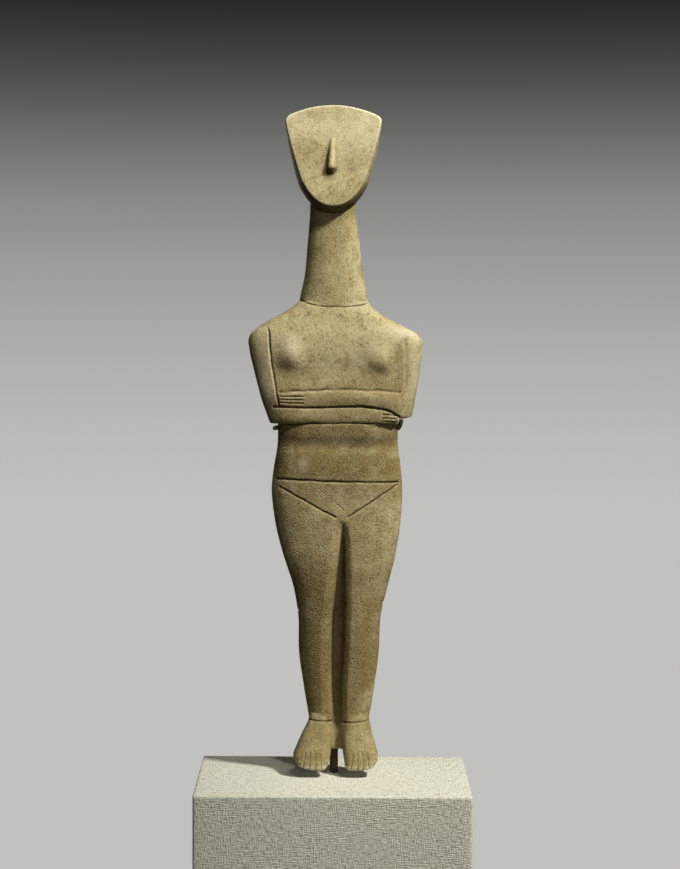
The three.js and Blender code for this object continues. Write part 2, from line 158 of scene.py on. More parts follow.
# Soft swellings of the front: x, height, how far they reach aside, up and down, and their lift.
SWELLINGS = [
    (-41, 391, 14, 17, 12, 4.4),
    (41.5, 387.5, 12, 16, 10, 3.6),
    (3, 290, 52, 26, 20, 1.2),
]
SWELLING_FALL = 1.4
# The chest lies lower than the arms, and comes level with them above the breasts.
CHEST_PANEL = {"left_soft": 2, "right": 66, "right_soft": 10, "foot": 0.4, "foot_soft": 1.4,
               "depth": 1.7, "level_from": 376, "level_over": 44}
# Each forearm is a low rounded band, and the upper one stands a little over the lower one's hand.
FOREARMS = {"left": -48, "right": 58, "soft": 8, "upper": 3.6, "lower": 3}
OVERLAP = {"left": 20, "right": 58, "soft": 25, "foot": 0.5, "foot_soft": 1.2, "top": 8, "lift": 1.1}
# The carver's hand: over cells of this size a line wanders this far, and its depth varies. The
# seed keeps the hand the same each run.
HAND = {"cell": 11, "wander": 0.6, "depth": 0.85, "vary": 0.5, "seed": 5}
# Wear makes the surface swell and sink by this much, in cells of this size.
WEAR = {"cell": 17, "swell": 0.16, "fineness": 0.9, "step": 2.1, "octaves": 4}

# Bands of height where the stone is browner or paler than this: low, high, softness, change.
BROWN = 0.55
BROWN_BANDS = [
    (52, 185, 20, 0.32),
    (195, 262, 16, -0.15),
    (262, 330, 8, 0.2),
    (285, 322, 10, 0.25),
    (334, 344, 5, -0.12),
    (348, 360, 5, 0.1),
    (372, 425, 10, -0.276),
    (440, 700, 60, -0.4),
    (590, 700, 20, -0.12),
]
# Painted shade: a browner band in the waist's recess, and the jaw's underside browner down into the neck's
# top.
WAIST_SHADE = {"at": 312.5, "half": 6, "brown": 0.7}
JAW_SHADE_BAND = {"from": 500, "full": 528, "over": 40, "brown": 0.3}
# The same for how rough it is, and the thigh that is rougher still.
PITTED = 0.75
PITTED_BANDS = [(390, 700, 100, -0.35), (540, 700, 40, -0.25)]
PITTED_THIGH = {"left": -60, "right": -10, "soft": 12, "low": 150, "high": 235, "fade": 20, "more": 0.5}
# Edges that stand this proud are painted pale: a little everywhere for rubbed wear, and more on the crown and
# the feet, a painted highlight along their rims.
EDGE_WEAR_AND_HIGHLIGHT = {"begins": 0.12, "over": 0.4, "all": 0.12, "ends": 0.6, "crown": 600, "crown_over": 15, "feet": 6}
# Painted shade deep in the leg cleft, from so far inside its edges, and under the jaw, where it faces down.
CLEFT_SHADE = {"cleft": 0.5, "left": 3, "right": 1, "soft": 3, "deep": 6, "behind": 14}
UNDER_JAW_SHADE = {"strength": 0.75, "faces_down": 0.15, "over": 0.4}
# Painted shade: a cut this deep is wholly dark; a recess darkens from this depth on, by so much a millimetre.
DARK_CUT = 4
CAVITY_SHADE = {"begins": 0.08, "strength": 1.4}
MOST_SHADE = 1.4
# Spots painted pale, partly rubbed wear and partly painted highlight on the breasts' upper slopes, the crown
# and the arms' outer edges: x, height, how far they reach aside and up, and how strongly.
WEAR_AND_HIGHLIGHT_SPOTS = [
    (-40, 402, 8, 9, 0.3),
    (40, 399, 10, 8, 0.2),
    (63, 415, 17, 6, 0.4),
    (-29.6, 291, 5, 7, 0.35),
    (-38, 613, 8, 10, 0.25),
    (20, 604, 32, 20, 0.22),
    (-69, 368, 9, 34, 0.3),
    (76, 368, 9, 34, 0.2),
]
# Spots painted darker as shade, in the same terms: the nose's shadow and underside, under the right breast,
# the shaded left of the belly, neck and lower leg, the waist and the lower right face.
PAINTED_SHADE_SPOTS = [
    (-7, 562.5, 4.5, 5.5, 1),
    (-2.5, 565.5, 3.5, 3, 0.8),
    (-8, 574, 1.6, 12, 0.8),
    (44, 382, 7, 7, 0.3),
    (-52, 296, 8, 16, 0.5),
    (-6, 313, 58, 5, 0.3),
    (-25, 490, 8, 45, 0.4),
    (-22, 60, 9, 14, 0.55),
    (30, 312, 30, 4, 0.3),
    (17, 566, 8, 6, 0.25),
]
ELBOW_CUT = {"x": 57.6, "top": 333.4, "slope": 12, "width": 40, "depth": 80, "height": 30}

# The covered block's soft edges, and the cloth's fold line on top, just behind the front edge.
LINEN_EDGE = {"radius": 2.2, "segments": 5, "cuts": 24}
CREASE = {"behind": 9, "half": 1.6, "depth": 0.9}

# The remeshed stone's cell, and how often and how far each point is then drawn to its neighbours:
# a little to take off the cells' steps, and much more to find the level that hollows lie under, for the
# painted shade laid in them.
VOXEL = 0.65
STEPS_OFF = (2, 0.5)
LEVEL = (24, 0.6)
MOST_TRIANGLES = 190000

FOREARM_TOP = [(-52.2, 359.4), (-10, 361.8), (30, 362), (60.5, 360.4)]
FOREARM_MIDDLE = [(-57, 345.4), (-17, 344.9), (19.7, 346.6), (37.5, 345.1), (49.4, 342.8), (61, 336.2)]
FOREARM_FOOT = [(-50, 328.6), (0, 330.4), (57, 330)]
LEFT_ARM = [(-62, 417), (-59.6, 388), (-52, 346)]

# Incised lines on the front (x, height), each with its depth, and its reach above and below.
GROOVES = [
    # neck
    ([(-33, 445.6), (-22.5, 441), (-3, 439.2), (20, 439.8), (30, 443)], 1.2, 0.8, 1.2),
    # inner edges of the upper arms
    (LEFT_ARM, 2.2, 1.2, 1.8),
    ([(65, 408), (66.4, 386), (66, 364)], 0.8, 3, 3),
    # above, between and underneath the forearms
    (FOREARM_TOP, 1.8, 1.1, 2.2),
    (FOREARM_MIDDLE, 2, 1.4, 2),
    (FOREARM_FOOT, 1.2, 1, 1.4),
    # girdle and pubic triangle
    ([(-54.5, 277.8), (6.6, 275.6), (60, 274.9)], 1.7, 1, 2.2),
    ([(-51.6, 270), (1.1, 242.4)], 1.6, 1, 1.9),
    ([(59.2, 272.6), (12.6, 242.4)], 1.5, 1, 1.9),
    # a shallow scratch beside the apex of the triangle
    ([(2.5, 254.5), (8.5, 248.5)], 0.6, 0.8, 0.8),
    # ankles
    ([(-25, 47.6), (-13, 45.6), (-1, 44.4)], 1.3, 0.8, 1.6),
    ([(8.4, 44.2), (22, 44.5), (36, 46.2)], 1.3, 0.8, 1.6),
]
FINGERS = [
    {"from": -51, "to": -29.5, "at": 349.3, "step": 3.05, "count": 3, "drop": 0},
    {"from": 44.4, "to": 57.5, "at": 332.6, "step": 3.05, "count": 3, "drop": 1.2},
]
TOES = {"count": 5, "tip": 6, "bottom": 1.5, "top": 16.5, "spread": 1.35}
KNEE_GROOVES = [
    ([(-40, 150), (-32.6, 152), (-16, 157), (-4, 160)], 1.6, 1.2, 1.8),
    ([(52, 157.5), (43.6, 160), (26, 163), (11, 160)], 1.8, 1.2, 3),
]
FINGER_CUT = (1.2, 0.8, 1.3)
TOE_CUT = (0.8, 0.9, 0.9)
SPINE_GROOVE = ([(1.5, 438), (1, 380), (2.5, 320), (3.5, 262)], 1.5, 3.2, 3.2)


# ---------------------------------------------------------------- shaping helpers

def eased(share):
    share = np.clip(share, 0, 1)
    return share * share * (3 - 2 * share)


def between(value, low, high, soft):
    """1 between low and high, falling smoothly to 0 over the soft distance outside them."""
    return eased((value - low) / soft + 1) * eased((high - value) / soft + 1)


def facing(lean, begins=0.1, over=0.3):
    """0 where the surface turns away from a direction, 1 where it faces it."""
    return eased((lean - begins) / over)


def banded(z, base, bands):
    """A base value with its changes in bands of height."""
    return base + sum(change * between(z, low, high, soft) for low, high, soft, change in bands)


def signed_power(value, power):
    return np.sign(value) * np.abs(value) ** power


def run_between(start, end, leave, arrive, t):
    """A smooth run from start to end that leaves and arrives at the given slopes."""
    bend = (2 * t**3 - 3 * t**2) * (start - end) + (t**3 - 2 * t**2 + t) * leave
    return start + bend + (t**3 - t**2) * arrive


def edges_at(stations, heights):
    """The left, right, front and back edges at any heights, on a smooth run through the stations."""
    rows = np.array(stations, float)
    knots, values = rows[:, 0], rows[:, 1:]
    slopes = np.gradient(values, knots, axis=0)
    heights = np.clip(heights, knots[0], knots[-1])
    spot = np.clip(np.searchsorted(knots, heights) - 1, 0, len(knots) - 2)
    span = (knots[spot + 1] - knots[spot])[:, None]
    t = (heights - knots[spot])[:, None] / span
    leave, arrive = slopes[spot] * span, slopes[spot + 1] * span
    return run_between(values[spot], values[spot + 1], leave, arrive, t).T


def places(bm):
    return np.array([vertex.co[:] for vertex in bm.verts])


def put(bm, points):
    for vertex, point in zip(bm.verts, points):
        vertex.co = point


def pillar(sides, cuts):
    """An upright cylinder of unit size, with its sides cut into rings."""
    bm = bmesh.new()
    bmesh.ops.create_cone(bm, cap_ends=True, segments=sides, radius1=1, radius2=1, depth=1)
    uprights = [edge for edge in bm.edges if edge.verts[0].co.z != edge.verts[1].co.z]
    bmesh.ops.subdivide_edges(bm, edges=uprights, cuts=cuts)
    return bm


def loft(stations, square, sides=96, ring_gap=2):
    """A pillar whose rings are reshaped to a form's outline, height by height."""
    low, high = stations[0][0], stations[-1][0]
    bm = pillar(sides, max(1, round((high - low) / ring_gap)))
    x, y, z = places(bm).T
    heights = low + (z + 0.5) * (high - low)
    left, right, front, back = edges_at(stations, heights)
    angle = np.arctan2(y, x)
    across = signed_power(np.cos(angle), 2 / square) * (right - left) / 2
    deep = signed_power(np.sin(angle), 2 / square) * (back - front) / 2
    put(bm, np.column_stack([(left + right) / 2 + across, (front + back) / 2 + deep, heights]))
    return bm


def face_depth(stations, square, x, heights):
    """How far forward a form's front surface lies, at any x and height."""
    left, right, front, back = edges_at(stations, heights)
    aside = np.clip(np.abs(x - (left + right) / 2) / ((right - left) / 2), 0, 1)
    return (front + back) / 2 - (back - front) / 2 * (1 - aside**square) ** (1 / square)


def object_of(name, bm):
    mesh = bpy.data.meshes.new(name)
    bm.to_mesh(mesh)
    bm.free()
    made = bpy.data.objects.new(name, mesh)
    bpy.context.collection.objects.link(made)
    return made


def worked(made):
    """The object with its modifiers worked into its mesh."""
    bpy.context.view_layer.update()
    ready = made.evaluated_get(bpy.context.evaluated_depsgraph_get())
    mesh = bpy.data.meshes.new_from_object(ready)
    made.modifiers.clear()
    made.data = mesh
    return made


def cut_from(made, cutters):
    for cutter in cutters:
        cut = made.modifiers.new("cut", "BOOLEAN")
        cut.operation = "DIFFERENCE"
        cut.solver = "EXACT"
        cut.object = cutter
    worked(made)
    for cutter in cutters:
        bpy.data.objects.remove(cutter)
    return made


# ---------------------------------------------------------------- the head

def shield_outline(count, curve_points=40):
    """The head's shield shape seen from the front, as evenly spaced points from the chin round."""
    top = CORNER["at"] + CORNER["rise"] * CORNER["rounding"]
    bottom, half = HEAD["bottom"], CORNER["half"]
    out, up = CORNER["pull"]
    knots = [
        ((0, bottom), (CHIN["flat"], bottom), (CHIN["half"], bottom + CHIN["rise"])),
        ((CHEEK["half"], CHEEK["at"]), (CHEEK["swell"], CHEEK["swell_at"])),
        ((half, CORNER["at"]), (half + out, CORNER["at"] + up)),
        ((half - CORNER["rounding"], top), (0, 2 * HEAD["crown"] - top)),
        ((CORNER["rounding"] - half, top),),
    ]
    side = []
    for (start, *pulls), (end, *_) in zip(knots, knots[1:]):
        start, end = Vector(start).to_3d(), Vector(end).to_3d()
        pulls = [Vector(pull).to_3d() for pull in pulls]
        if len(pulls) == 1:
            pulls = [start.lerp(pulls[0], 2 / 3), end.lerp(pulls[0], 2 / 3)]
        side += interpolate_bezier(start, *pulls, end, curve_points)[:-1]
    right = np.array([point[:2] for point in side if point.x > -1e-6])
    whole = np.vstack([right, right[:0:-1] * (-1, 1), right[:1]])
    along = np.concatenate([[0], np.cumsum(np.hypot(*np.diff(whole, axis=0).T))])
    steps = np.linspace(0, along[-1], count, endpoint=False)
    return np.column_stack([np.interp(steps, along, whole[:, axis]) for axis in (0, 1)])


def up_head(heights):
    """Heights as shares of the way from the chin to the crown."""
    return (heights - HEAD["bottom"]) / (HEAD["crown"] - HEAD["bottom"])


def face_front(heights):
    """How far forward the leaning face plate lies at each height."""
    return HEAD["chin_front"] + up_head(heights) * (HEAD["crown_front"] - HEAD["chin_front"])


def face_rim(edge, tall):
    """Where the flat face ends, as a share of the way from its middle to the outline."""
    inset = RIM["crown"] + (RIM["chin"] - RIM["crown"]) * (1 - np.clip(tall, 0, 1)) ** RIM["fade"]
    return 1 - inset / np.hypot(*(edge - FACE_MIDDLE).T)


def head_form(turns=180, layers=72):
    """A sphere with its poles at the face and the back, whose turns follow the shield shape: a
    flat face plate, a crisp rim, sides that swell to the widest outline, and a rounded back."""
    bm = bmesh.new()
    bmesh.ops.create_uvsphere(bm, u_segments=turns, v_segments=layers, radius=1)
    x, y, z = places(bm).T
    spot = np.round(np.arctan2(y, x) / (2 * math.pi) * turns).astype(int) % turns
    edge = shield_outline(turns)[spot]
    rim = face_rim(edge, up_head(edge[:, 1]))
    along = 1 - np.arccos(np.clip(z, -1, 1)) / math.pi
    plate_end, side_end, power = HEAD_LINE["plate"], HEAD_LINE["side"], HEAD_LINE["back_power"]
    plate = np.clip(along / plate_end, 0, 1)
    side = np.clip((along - plate_end) / (side_end - plate_end), 0, 1)
    behind = np.clip((along - side_end) / (1 - side_end), 0, 1) * math.pi / 2
    first = math.radians(RIM["turn"])
    arc = first + side * (math.pi / 2 - first)
    reach = rim * plate + (1 - rim) * (np.sin(arc) - math.sin(first)) / (1 - math.sin(first))
    reach = reach * np.clip(np.cos(behind), 0, 1) ** power
    widest, bulge = RIM["widest"], RIM["bulge"]
    depth = bulge * plate**2 + (widest - bulge) * (1 - np.cos(arc) / math.cos(first))
    depth = depth + (1 - widest) * np.clip(np.sin(behind), 0, 1) ** power
    across, heights = (FACE_MIDDLE + (edge - FACE_MIDDLE) * reach[:, None]).T
    rise = np.sin(np.clip(up_head(heights), 0, 1) * math.pi / 2)
    back = HEAD_BACK["jaw"] + rise * (HEAD_BACK["crown"] - HEAD_BACK["jaw"])
    front = face_front(heights)
    put(bm, np.column_stack([HEAD["middle"] + across, front + depth * (back - front), heights]))
    bmesh.ops.recalc_face_normals(bm, faces=bm.faces)
    return bm


def nose_form(sides=48, cuts=36):
    """A ridge laid down the face: crest toward one side, highest at its end, undercut below that."""
    bm = pillar(sides, cuts)
    x, y, z = places(bm).T
    heights = NOSE["tip"] + (z + 0.5) * (NOSE["top"] - NOSE["tip"])
    above = np.clip((NOSE["top"] - heights) / (NOSE["top"] - NOSE["end"]), 0, 1)
    below = np.clip((heights - NOSE["tip"]) / (NOSE["end"] - NOSE["tip"]), 0, 1)
    bridge, under = NOSE_SHAPE["bridge"], NOSE_SHAPE["under"]
    height = NOSE["height"] * above ** NOSE_SHAPE["rise"] * below ** NOSE_SHAPE["drop"]
    width = NOSE["half"] * (bridge + (1 - bridge) * above) * (under + (1 - under) * below)
    lean = math.tan(math.radians(NOSE["lean"])) * (heights - NOSE["tip"])
    power = np.where(x < 0, NOSE_SHAPE["left"], NOSE_SHAPE["right"])
    front = face_front(heights) + NOSE_SHAPE["sunk"]
    crest = front + height * signed_power(y, power)
    put(bm, np.column_stack([NOSE["x"] - lean + width * x, crest, heights]))
    return bm


# ---------------------------------------------------------------- the stone

def elbow_cutter():
    """What is cut away under the right elbow, where the arm ends higher than the forearm."""
    size = Vector((ELBOW_CUT["width"], ELBOW_CUT["depth"], ELBOW_CUT["height"]))
    turn = Matrix.Rotation(math.radians(-ELBOW_CUT["slope"]), 3, "Y")
    bm = bmesh.new()
    bmesh.ops.create_cube(bm, size=1)
    bmesh.ops.scale(bm, verts=bm.verts, vec=size)
    bmesh.ops.translate(bm, verts=bm.verts, vec=(size.x / 2, 0, -size.z / 2))
    bmesh.ops.rotate(bm, verts=bm.verts, cent=(0, 0, 0), matrix=turn)
    bmesh.ops.translate(bm, verts=bm.verts, vec=(ELBOW_CUT["x"], 0, ELBOW_CUT["top"]))
    return object_of("elbow_cutter", bm)


def rough_stone():
    """All the forms in one block of stone, fused by a voxel remesh."""
    legs = cut_from(object_of("legs", loft(LEGS_AND_WAIST, SQUARE["legs"])), [
        object_of("front_cleft", loft(FRONT_CLEFT, SQUARE["front_cleft"], 32, 6)),
        object_of("rear_cleft", loft(REAR_CLEFT, SQUARE["rear_cleft"], 32, 6)),
    ])
    chest = cut_from(object_of("chest", loft(CHEST_AND_ARMS, SQUARE["chest"])), [elbow_cutter()])
    forms = [
        loft(NECK, SQUARE["neck"]),
        loft(LEFT_FOOT, SQUARE["foot"], 64, 1),
        loft(RIGHT_FOOT, SQUARE["foot"], 64, 1),
        head_form(),
        nose_form(),
    ]
    whole = bmesh.new()
    whole.from_mesh(legs.data)
    whole.from_mesh(chest.data)
    for number, form in enumerate(forms):
        part = object_of(f"form_{number}", form)
        whole.from_mesh(part.data)
        bpy.data.objects.remove(part)
    for part in (legs, chest):
        bpy.data.objects.remove(part)
    stone = object_of("carved_marble_woman", whole)
    fuse = stone.modifiers.new("fuse", "REMESH")
    fuse.mode = "VOXEL"
    fuse.voxel_size = VOXEL
    fuse.adaptivity = 0
    return worked(stone)


def read(mesh, what="co"):
    values = np.empty(len(mesh.vertices) * 3)
    mesh.vertices.foreach_get(what, values)
    return values.reshape(-1, 3)


def relaxed(points, edges, rounds, share):
    """Each point moves toward the middle of its neighbours, by a share of the way."""
    near, far = edges.T
    count = np.bincount(edges.ravel(), minlength=len(points))
    share = np.broadcast_to(share, len(points))[:, None]
    for _ in range(rounds):
        sums = np.column_stack([
            np.bincount(near, points[far, axis], len(points))
            + np.bincount(far, points[near, axis], len(points))
            for axis in range(3)
        ])
        points = points + share * (sums / count[:, None] - points)
    return points


def smooth_line(line, per_span=8):
    """A line through its points with rounded bends."""
    points = np.array(line, float)
    if len(points) < 3:
        return points
    along = np.arange(len(points))
    slopes = np.gradient(points, axis=0)
    fine = np.linspace(0, len(points) - 1, (len(points) - 1) * per_span + 1)
    spot = np.minimum(fine.astype(int), len(points) - 2)
    t = (fine - along[spot])[:, None]
    return run_between(points[spot], points[spot + 1], slopes[spot], slopes[spot + 1], t)


def groove_depth(x, z, line, depth, above, below, fade=3):
    """How deep a groove cuts: its walls reach above and below the line by their own widths."""
    path = smooth_line(line)
    result = np.zeros(len(x))
    reach = max(above, below) + fade
    low, high = path.min(axis=0) - reach, path.max(axis=0) + reach
    pick = np.flatnonzero((x > low[0]) & (x < high[0]) & (z > low[1]) & (z < high[1]))
    if not len(pick):
        return result
    spots = np.column_stack([x[pick], z[pick]])
    best = np.full(len(pick), 1e9)
    side = np.zeros(len(pick))
    for start, end in zip(path, path[1:]):
        run = end - start
        share = np.clip((spots - start) @ run / (run @ run), 0, 1)
        away = spots - (start + share[:, None] * run)
        distance = np.hypot(*away.T)
        closer = distance < best
        best[closer] = distance[closer]
        normal = np.array([-run[1], run[0]]) * (1 if run[0] >= 0 else -1)
        side[closer] = (away @ normal)[closer]
    wall = np.where(side > 0, above, below)
    result[pick] = depth * eased(1 - best / wall)
    return result


def finger_grooves():
    for hand in FINGERS:
        for number in range(hand["count"]):
            height = hand["at"] + number * hand["step"]
            yield [(hand["from"], height), (hand["to"], height - hand["drop"])], *FINGER_CUT


def toe_grooves(foot):
    """The cuts between the toes, fanning out to the tips."""
    left, right, _, _ = edges_at(foot, np.array([TOES["top"], TOES["tip"]]))
    middle = (left + right) / 2
    pitch = (right[1] - left[1]) / TOES["count"]
    for number in range(1, TOES["count"]):
        offset = (number - TOES["count"] / 2) * pitch
        start = (middle[0] + offset / TOES["spread"], TOES["top"])
        yield [start, (middle[1] + offset, TOES["bottom"])], *TOE_CUT


def height_on(line, x):
    """The height of a line that runs from side to side, at any x."""
    path = smooth_line(line)
    return np.interp(x, path[:, 0], path[:, 1])


def relief(x, z):
    """How far the front stands proud: breasts and belly swell, the chest lies between the arms,
    each forearm is a low rounded band, and the lips of the leg cleft fall away."""
    lift = np.zeros(len(x))
    for middle, height, aside, up, down, rise in SWELLINGS:
        tall = np.where(z > height, up, down)
        away = ((x - middle) / aside) ** 2 + ((z - height) / tall) ** 2
        lift += rise * np.exp(-SWELLING_FALL * away)
    top, middle, foot = [height_on(line, x) for line in (FOREARM_TOP, FOREARM_MIDDLE, FOREARM_FOOT)]
    inner = smooth_line(LEFT_ARM)[::-1]
    arm = np.interp(z, inner[:, 1], inner[:, 0])
    panel = eased((x - arm) / CHEST_PANEL["left_soft"] + 0.5)
    panel = panel * eased((CHEST_PANEL["right"] - x) / CHEST_PANEL["right_soft"])
    panel = panel * eased((z - top + CHEST_PANEL["foot"]) / CHEST_PANEL["foot_soft"])
    level = eased((z - CHEST_PANEL["level_from"]) / CHEST_PANEL["level_over"])
    lift -= CHEST_PANEL["depth"] * panel * (1 - level)
    across = between(x, FOREARMS["left"], FOREARMS["right"], FOREARMS["soft"])
    upper = np.clip((z - middle) / (top - middle), 0, 1)
    lower = np.clip((z - foot) / (middle - foot), 0, 1)
    lift += across * (FOREARMS["upper"] * upper * (1 - upper) + FOREARMS["lower"] * lower * (1 - lower))
    left, right, _, _ = edges_at(FRONT_CLEFT, z)
    lip = eased(1 - (left - x) / CLEFT_LIPS["left"]) * eased(1 - (x - right) / CLEFT_LIPS["right"])
    lip = lip * between(z, CLEFT_LIPS["bottom"], CLEFT_LIPS["top"], CLEFT_LIPS["fade"])
    over = between(x, OVERLAP["left"], OVERLAP["right"], OVERLAP["soft"])
    over = over * eased((z - middle + OVERLAP["foot"]) / OVERLAP["foot_soft"])
    over = over * (1 - eased((z - top) / OVERLAP["top"] + 1))
    return lift - CLEFT_LIPS["depth"] * lip + OVERLAP["lift"] * over


def carve(points, normals):
    """Cuts the lines into the front and the back; also says how deep each point now lies."""
    noise.seed_set(HAND["seed"])
    drift = np.array([noise.noise_vector(Vector(point) / HAND["cell"]) for point in points])
    x, _, z = (points + HAND["wander"] * drift).T
    front = facing(-normals[:, 1])
    lines = [*GROOVES, *finger_grooves(), *toe_grooves(LEFT_FOOT), *toe_grooves(RIGHT_FOOT)]
    cut = np.max([groove_depth(x, z, *line) for line in lines], axis=0) * front
    knees = np.max([groove_depth(x, z, *line) for line in KNEE_GROOVES], axis=0)
    cut += knees * facing(normals[:, 1], begins=-0.5)
    cut += groove_depth(x, z, *SPINE_GROOVE) * facing(normals[:, 1])
    depth = cut * (HAND["depth"] + HAND["vary"] * drift[:, 1])
    carved = points - normals * depth[:, None]
    carved[:, 1] -= relief(points[:, 0], points[:, 2]) * front
    return carved, depth


def weathered(points, normals):
    """The worn surface swells and sinks a little, as hand-rubbed stone does."""
    swell = np.array([
        noise.fractal(Vector(point) / WEAR["cell"], WEAR["fineness"], WEAR["step"], WEAR["octaves"])
        for point in points
    ])
    return points + normals * (WEAR["swell"] * swell)[:, None]


def browned_and_shaded(z):
    """How much browner the stone is drawn at each height, the waist and the calves most, the head least; the
    waist's band and the jaw's are painted shade.
    """
    waist = WAIST_SHADE["brown"] * np.exp(-((z - WAIST_SHADE["at"]) / WAIST_SHADE["half"]) ** 2)
    jaw = JAW_SHADE_BAND["brown"] * (1 - eased((z - JAW_SHADE_BAND["full"]) / JAW_SHADE_BAND["over"])) * (z > JAW_SHADE_BAND["from"])
    return banded(z, BROWN, BROWN_BANDS) + waist + jaw


def pitted(x, z):
    """How rough the surface is: the left thigh most of all, the face least."""
    thigh = between(x, PITTED_THIGH["left"], PITTED_THIGH["right"], PITTED_THIGH["soft"])
    thigh = thigh * between(z, PITTED_THIGH["low"], PITTED_THIGH["high"], PITTED_THIGH["fade"])
    return banded(z, PITTED, PITTED_BANDS) + PITTED_THIGH["more"] * thigh


def spotted(x, z, spots):
    """How strongly each point lies in any of the spots."""
    shares = [strength * np.exp(-((x - at) / aside) ** 2 - ((z - height) / up) ** 2)
              for at, height, aside, up, strength in spots]
    return np.clip(np.sum(shares, axis=0), 0, 1)


def rubbed_and_highlit_edges(z, sunk):
    """Edges that stand proud are painted pale: a little for rubbed wear, and most on the crown's and the
    feet's rims as a painted highlight.
    """
    proud = eased((-sunk - EDGE_WEAR_AND_HIGHLIGHT["begins"]) / EDGE_WEAR_AND_HIGHLIGHT["over"])
    crown = eased((z - EDGE_WEAR_AND_HIGHLIGHT["crown"]) / EDGE_WEAR_AND_HIGHLIGHT["crown_over"])
    feet = 1 - eased(z / EDGE_WEAR_AND_HIGHLIGHT["feet"] - 1)
    return proud * (EDGE_WEAR_AND_HIGHLIGHT["all"] + EDGE_WEAR_AND_HIGHLIGHT["ends"] * (crown + feet))


def cleft_and_jaw_shade(points, normals):
    """Painted shade deep in the leg cleft and under the jaw, as a share of full darkness."""
    x, y, z = points.T
    face = face_depth(LEGS_AND_WAIST, SQUARE["legs"], np.zeros(len(x)), z)
    left, right, _, _ = edges_at(FRONT_CLEFT, z)
    inside = between(x, left + CLEFT_SHADE["left"], right - CLEFT_SHADE["right"], CLEFT_SHADE["soft"])
    inside = inside * (z < FRONT_CLEFT[-1][0]) * (y < CLEFT_SHADE["behind"]) * eased((y - face) / CLEFT_SHADE["deep"])
    jaw = facing(-normals[:, 2], UNDER_JAW_SHADE["faces_down"], UNDER_JAW_SHADE["over"]) * (z > JAW_SHADE_BAND["from"])
    return CLEFT_SHADE["cleft"] * inside + UNDER_JAW_SHADE["strength"] * jaw


def rounded_cleft(points, edges):
    """The legs' inner edges are worn round: more on the viewer's right than on the left."""
    x, y, z = points.T
    left, right, _, _ = edges_at(FRONT_CLEFT, z)
    near = between(z, ROUNDED["low"], ROUNDED["high"], ROUNDED["soft"]) * eased(1 - y / ROUNDED["front"])
    one = between(x, right - ROUNDED_RIGHT["inside"], right + ROUNDED_RIGHT["outside"], ROUNDED_RIGHT["soft"])
    other = between(x, left - ROUNDED_LEFT["outside"], left + ROUNDED_LEFT["inside"], ROUNDED_LEFT["soft"])
    rims = np.clip(one + ROUNDED_LEFT["share"] * other, 0, 1)
    return relaxed(points, edges, ROUNDED["rounds"], ROUNDED["share"] * near * rims)


def figurine():
    """The rough stone smoothed, carved and worn, with what its material reads at each point."""
    stone = rough_stone()
    mesh = stone.data
    edges = np.empty(len(mesh.edges) * 2, int)
    mesh.edges.foreach_get("vertices", edges)
    edges = edges.reshape(-1, 2)
    points = relaxed(read(mesh), edges, *STEPS_OFF)
    points = rounded_cleft(points, edges)
    mesh.vertices.foreach_set("co", points.ravel())
    mesh.update()
    normals = read(mesh, "normal")
    points, depth = carve(points, normals)
    points = weathered(points, normals)
    mesh.vertices.foreach_set("co", points.ravel())
    # Painted shade in recesses: how far each point lies under the level of its neighbours.
    sunk = np.sum((relaxed(points, edges, *LEVEL) - points) * normals, axis=1)
    hollows = CAVITY_SHADE["strength"] * np.clip(sunk - CAVITY_SHADE["begins"], 0, 1)
    x, _, z = points.T
    # Spots of painted shade, on surfaces that face forward.
    dark = spotted(x, z, PAINTED_SHADE_SPOTS) * (normals[:, 1] < 0.3)
    shades = {
        "painted_shade": depth / DARK_CUT + hollows + cleft_and_jaw_shade(points, normals) + dark,
        "brown_tone_and_shade": browned_and_shaded(z),
        # Pale wear on proud edges and spots, with painted highlights on the crown, the feet's rims, the
        # breasts and the arms' edges.
        "worn": spotted(x, z, WEAR_AND_HIGHLIGHT_SPOTS) + rubbed_and_highlit_edges(z, sunk),
        "pitted": pitted(x, z),
    }
    for name, values in shades.items():
        layer = mesh.attributes.new(name, "FLOAT", "POINT")
        layer.data.foreach_set("value", np.clip(values, 0, MOST_SHADE))
    mesh.update()
    mesh.calc_loop_triangles()
    thin = stone.modifiers.new("thin", "DECIMATE")
    thin.ratio = min(1, MOST_TRIANGLES / len(mesh.loop_triangles))
    worked(stone)
    stone.data.transform(Matrix.Translation((0, 0, sole)) @ Matrix.Scale(MM, 4))
    stone.data.polygons.foreach_set("use_smooth", [True] * len(stone.data.polygons))
    stone.data.update()
    return stone


# ---------------------------------------------------------------- the linen block

def sliced(bm, spot, square_to):
    """Cuts new edges right round the mesh, on a plane through the spot."""
    whole = bm.verts[:] + bm.edges[:] + bm.faces[:]
    bmesh.ops.bisect_plane(bm, geom=whole, dist=1e-4, plane_co=spot, plane_no=square_to)


